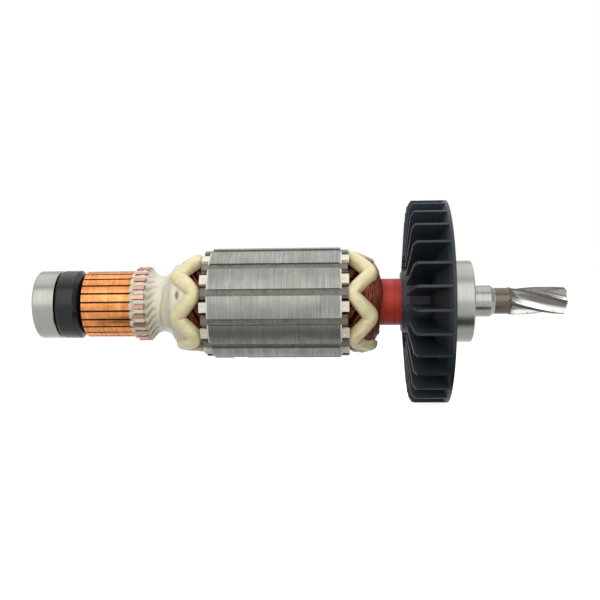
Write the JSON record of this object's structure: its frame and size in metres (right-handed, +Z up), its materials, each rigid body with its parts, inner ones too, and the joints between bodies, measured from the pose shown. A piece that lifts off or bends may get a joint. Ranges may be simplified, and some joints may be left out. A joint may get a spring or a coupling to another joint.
{
  "type": "motor armature",
  "caption": "Wound motor armature with commutator, laminated core, cooling fan, helical pinion shaft and both ball bearings.",
  "frame": {"origin": "centre of the drive end bearing, on the shaft's axis", "axes": "+X along the shaft towards the pinion, +Z up, shaft horizontal"},
  "size_m": [0.1694, 0.0644, 0.0644],
  "materials": {
    "ground_steel": "ground and turned steel",
    "red_sleeve": "moulded insulating plastic",
    "laminations": "turned sheet steel stack",
    "white_insulator": "moulded insulating plastic",
    "slot_paper": "insulating paper",
    "slot_wedge": "pressed fibre wedge",
    "copper_wire": "enamelled copper wire",
    "commutator_copper": "turned copper",
    "cream_resin": "cured resin",
    "phenolic_moulding": "phenolic moulding",
    "black_moulding": "moulded plastic",
    "fan_plastic": "glass filled nylon",
    "bearing_steel": "ground bearing steel",
    "ball_steel": "polished balls",
    "cage_plastic": "moulded nylon cage",
    "shield_steel": "pressed steel shield"
  },
  "bodies": {
    "drive_housing_ring": {"drive_bearing_outer_ring": "bearing_steel", "drive_bearing_shields": "shield_steel"},
    "rotor": {"shaft": "ground_steel", "insulating_sleeve": "red_sleeve", "lamination_stack": "laminations", "rear_end_insulator": "white_insulator", "front_end_insulator": "white_insulator", "slot_liners": "slot_paper", "slot_wedges": "slot_wedge", "coil_1": "copper_wire", "coil_2": "copper_wire", "coil_3": "copper_wire", "coil_4": "copper_wire", "coil_5": "copper_wire", "coil_6": "copper_wire", "coil_7": "copper_wire", "coil_8": "copper_wire", "coil_9": "copper_wire", "coil_10": "copper_wire", "coil_11": "copper_wire", "coil_12": "copper_wire", "rear_bead": "cream_resin", "front_bead": "cream_resin", "commutator_body": "phenolic_moulding", "commutator_bar_1": "commutator_copper", "commutator_bar_2": "commutator_copper", "commutator_bar_3": "commutator_copper", "commutator_bar_4": "commutator_copper", "commutator_bar_5": "commutator_copper", "commutator_bar_6": "commutator_copper", "commutator_bar_7": "commutator_copper", "commutator_bar_8": "commutator_copper", "commutator_bar_9": "commutator_copper", "commutator_bar_10": "commutator_copper", "commutator_bar_11": "commutator_copper", "commutator_bar_12": "commutator_copper", "commutator_bar_13": "commutator_copper", "commutator_bar_14": "commutator_copper", "commutator_bar_15": "commutator_copper", "commutator_bar_16": "commutator_copper", "commutator_bar_17": "commutator_copper", "commutator_bar_18": "commutator_copper", "commutator_bar_19": "commutator_copper", "commutator_bar_20": "commutator_copper", "commutator_bar_21": "commutator_copper", "commutator_bar_22": "commutator_copper", "commutator_bar_23": "commutator_copper", "commutator_bar_24": "commutator_copper", "lead_wires": "copper_wire", "lead_resin_coat": "cream_resin", "rear_insulating_ring": "black_moulding", "fan": "fan_plastic", "drive_bearing_inner_ring": "bearing_steel", "rear_bearing_inner_ring": "bearing_steel"},
    "drive_balls": {"drive_bearing_balls": "ball_steel", "drive_bearing_cage": "cage_plastic"},
    "rear_housing_ring": {"rear_bearing_outer_ring": "bearing_steel", "rear_bearing_shields": "shield_steel"},
    "rear_balls": {"rear_bearing_balls": "ball_steel", "rear_bearing_cage": "cage_plastic"}
  },
  "joints": [
    {"name": "rotor_spin", "type": "hinge", "parent": "drive_housing_ring", "child": "rotor", "pos_m": [0, 0, 0], "axis": [1, 0, 0], "continuous": true},
    {"name": "drive_cage_spin", "type": "hinge", "parent": "drive_housing_ring", "child": "drive_balls", "pos_m": [0, 0, 0], "axis": [1, 0, 0], "continuous": true},
    {"name": "rear_ring_spin", "type": "hinge", "parent": "rotor", "child": "rear_housing_ring", "pos_m": [-0.13165, 0, 0], "axis": [1, 0, 0], "continuous": true},
    {"name": "rear_cage_spin", "type": "hinge", "parent": "rotor", "child": "rear_balls", "pos_m": [-0.13165, 0, 0], "axis": [1, 0, 0], "continuous": true}
  ],
  "couplings": [
    {"joint": "drive_cage_spin", "follows": "rotor_spin", "ratio": 0.3678},
    {"joint": "rear_cage_spin", "follows": "rear_ring_spin", "ratio": 0.6322}
  ]
}
